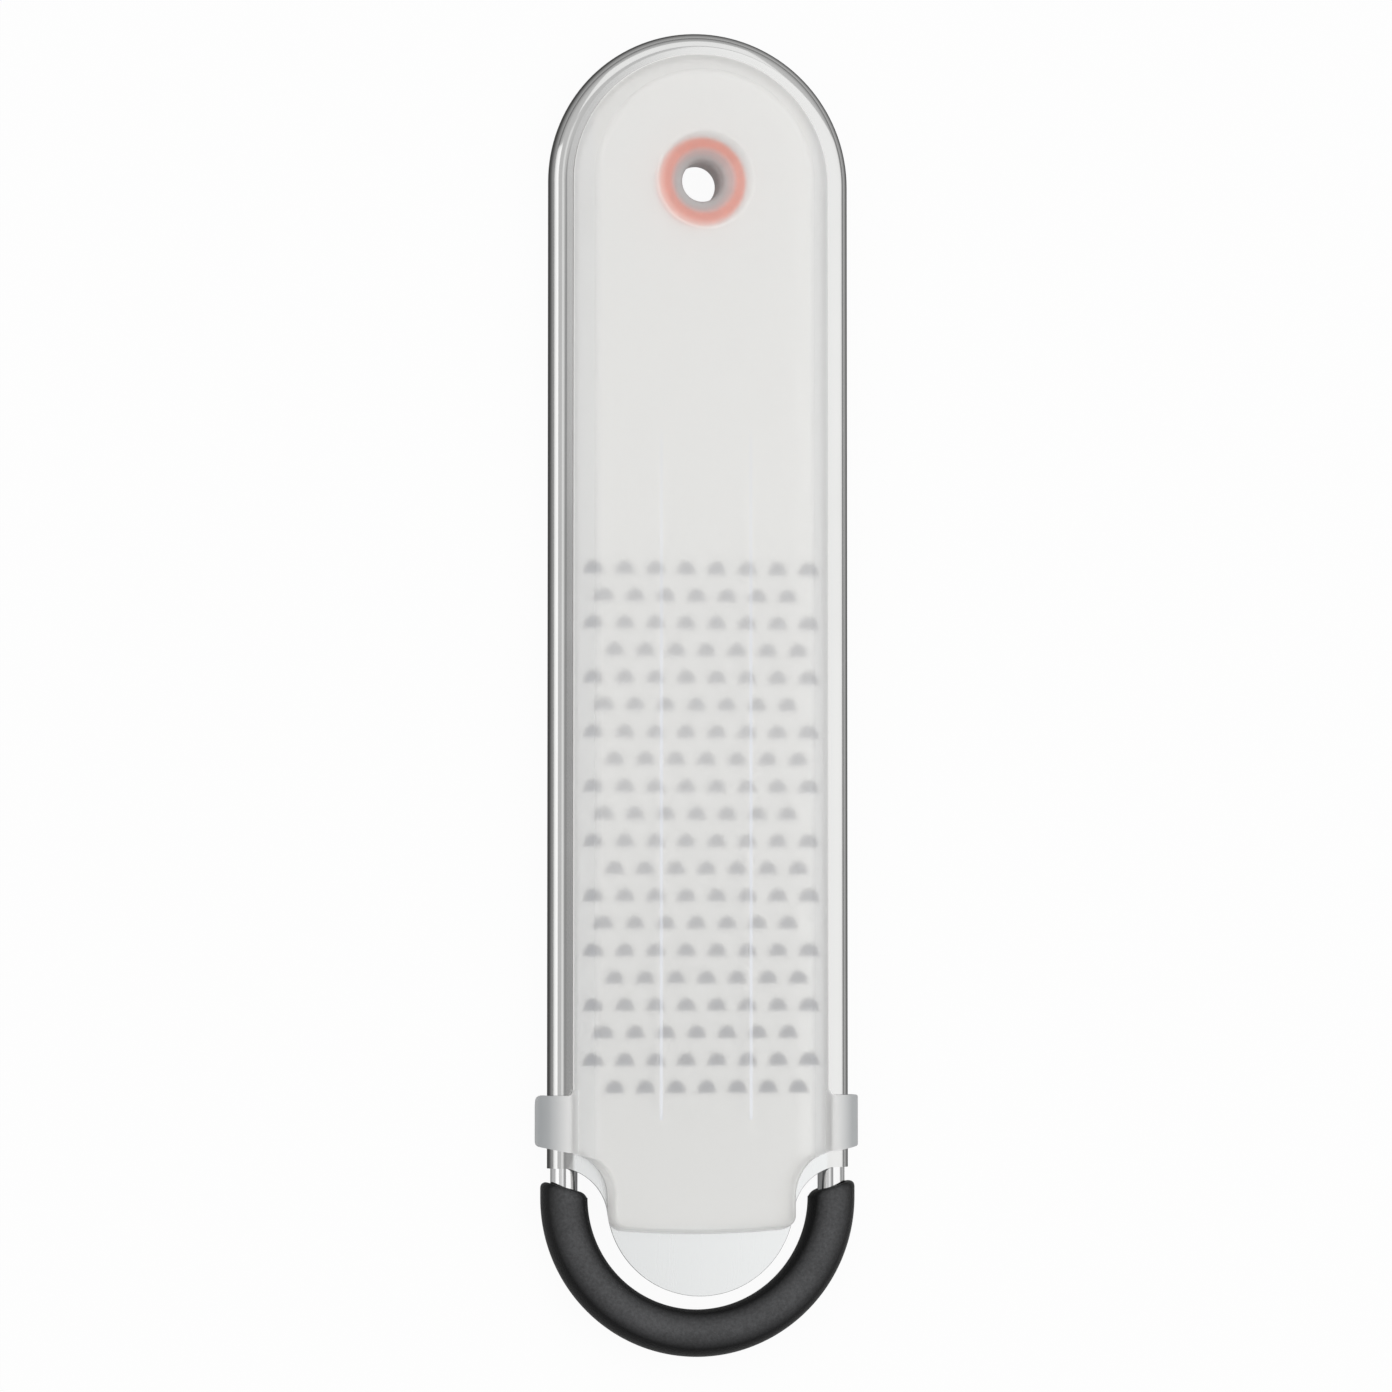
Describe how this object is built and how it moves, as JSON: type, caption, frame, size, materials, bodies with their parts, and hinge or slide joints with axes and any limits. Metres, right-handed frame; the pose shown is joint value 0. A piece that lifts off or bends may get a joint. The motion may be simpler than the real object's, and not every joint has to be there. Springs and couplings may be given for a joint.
{
  "type": "hand grater",
  "caption": "Flat stainless steel fine grater with punched half-moon teeth, wired rim, rubber-sleeved foot loop, hanging eyelet and a frosted clip-on cover.",
  "frame": {"origin": "middle of the footprint, on the table that the grater lies on", "axes": "+Y along the plate towards the hanging eyelet, +Z out of the toothed face, +X to the right of the picture"},
  "size_m": [0.0662, 0.27, 0.0144],
  "materials": {
    "steel_sheet": "stainless sheet, brushed along its length, polished on the curled rim",
    "steel_rod": "bright polished stainless rod",
    "grip_rubber": "matt black moulded rubber",
    "orange_plastic": "satin orange plastic",
    "frosted_plastic": "frosted translucent polypropylene"
  },
  "bodies": {
    "grater": {"grater_plate": "steel_sheet", "loop_rod": "steel_rod", "loop_grip": "grip_rubber", "hanging_eyelet": "orange_plastic"},
    "cover": {"blade_cover": "frosted_plastic"}
  },
  "joints": [
    {"name": "cover_lift", "type": "slide", "parent": "grater", "child": "cover", "axis": [0, 0, 1], "range_m": [0, 0.04]}
  ]
}
